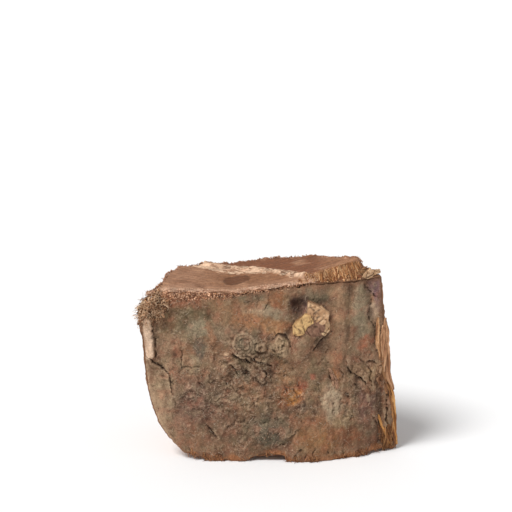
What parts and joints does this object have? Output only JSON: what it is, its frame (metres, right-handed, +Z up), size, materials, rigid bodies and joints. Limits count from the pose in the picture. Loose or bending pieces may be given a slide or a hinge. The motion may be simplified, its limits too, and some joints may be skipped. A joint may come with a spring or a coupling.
{
  "type": "smoking wood chunk",
  "caption": "Split wedge of a small log with its knotty bark left on one face, sawn across both ends and resting on its lower end, for smoking food over coals.",
  "frame": {"origin": "middle of the chunk's box from side to side and front to back, on the surface that it rests on", "axes": "+Z up along the grain from the lower sawn end to the upper one, the bark faces -Y, +X to the right as the bark is looked at"},
  "size_m": [0.0926, 0.0516, 0.0693],
  "materials": {
    "wood": "dry, rough bark and sawn wood"
  },
  "bodies": {
    "root": {"wood_chunk": "wood"}
  },
  "joints": []
}
